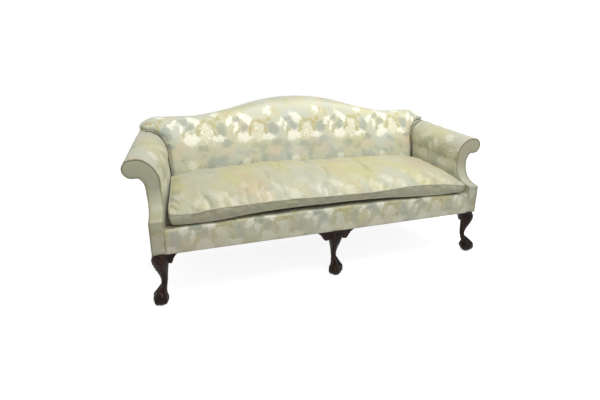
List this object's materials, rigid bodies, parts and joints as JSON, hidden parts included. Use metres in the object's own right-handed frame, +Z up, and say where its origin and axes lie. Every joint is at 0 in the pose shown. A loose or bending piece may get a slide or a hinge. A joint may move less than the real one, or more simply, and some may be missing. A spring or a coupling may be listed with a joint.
{
  "type": "camelback sofa",
  "caption": "Camelback sofa with outswept scroll arms, one long loose seat cushion, a sprung hardwood frame and ball-and-claw cabriole legs.",
  "frame": {"origin": "on the floor, in the middle of the footprint", "axes": "+Z up, +X along the sofa's length, the front faces -Y"},
  "size_m": [2.03, 0.756, 0.9299],
  "materials": {
    "brocade": "silk floral brocade, satin sheen",
    "piping": "self-piped brocade",
    "mahogany": "dark polished mahogany",
    "stained_frame": "stained hardwood",
    "frame_wood": "planed beech",
    "deck_cloth": "plain cotton",
    "dust_cloth": "black bottoming cloth",
    "hessian": "coarse jute weave",
    "webbing": "woven jute strap",
    "feather_fill": "feather and down in ticking",
    "hair_stuffing": "hair and wadding",
    "spring_steel": "coppered spring wire",
    "bolt_steel": "plain",
    "glide_steel": "plain"
  },
  "bodies": {
    "frame": {"back_hessian": "hessian", "back_webbing": "webbing", "centre_back_post": "stained_frame", "centre_front_leg": "mahogany", "centre_leg_left_bracket": "mahogany", "centre_leg_right_bracket": "mahogany", "centre_seat_stretcher": "frame_wood", "corner_blocks": "frame_wood", "crest_rail": "frame_wood", "crosswise_webbing": "webbing", "deck_cover": "deck_cloth", "deck_padding": "hair_stuffing", "dust_cover": "dust_cloth", "floor_glides": "glide_steel", "frame_dowels": "frame_wood", "front_border_cover": "brocade", "front_edge_roll": "hair_stuffing", "front_seat_rail": "frame_wood", "inside_back_cover": "brocade", "inside_back_padding": "hair_stuffing", "left_arm_facing": "brocade", "left_arm_hessian": "hessian", "left_arm_padding": "hair_stuffing", "left_arm_piping": "piping", "left_arm_rail": "frame_wood", "left_arm_stump": "frame_wood", "left_arm_tack_rail": "frame_wood", "left_back_post": "stained_frame", "left_front_leg": "mahogany", "left_inside_arm_cover": "brocade", "left_leg_front_bracket": "mahogany", "left_leg_side_bracket": "mahogany", "left_outside_arm_cover": "brocade", "left_side_seat_rail": "frame_wood", "leg_bolts": "bolt_steel", "lengthwise_webbing": "webbing", "lower_back_rail": "frame_wood", "outside_back_cover": "brocade", "rear_seat_rail": "frame_wood", "right_arm_facing": "brocade", "right_arm_hessian": "hessian", "right_arm_padding": "hair_stuffing", "right_arm_piping": "piping", "right_arm_rail": "frame_wood", "right_arm_stump": "frame_wood", "right_arm_tack_rail": "frame_wood", "right_back_post": "stained_frame", "right_front_leg": "mahogany", "right_inside_arm_cover": "brocade", "right_leg_front_bracket": "mahogany", "right_leg_side_bracket": "mahogany", "right_outside_arm_cover": "brocade", "right_side_seat_rail": "frame_wood", "seat_springs": "spring_steel", "spring_hessian": "hessian"},
    "cushion": {"cushion_core": "feather_fill", "cushion_cover": "brocade", "cushion_piping": "piping"}
  },
  "joints": [
    {"name": "cushion_lift", "type": "slide", "parent": "frame", "child": "cushion", "axis": [0, 0, 1], "range_m": [0, 0.6]}
  ]
}
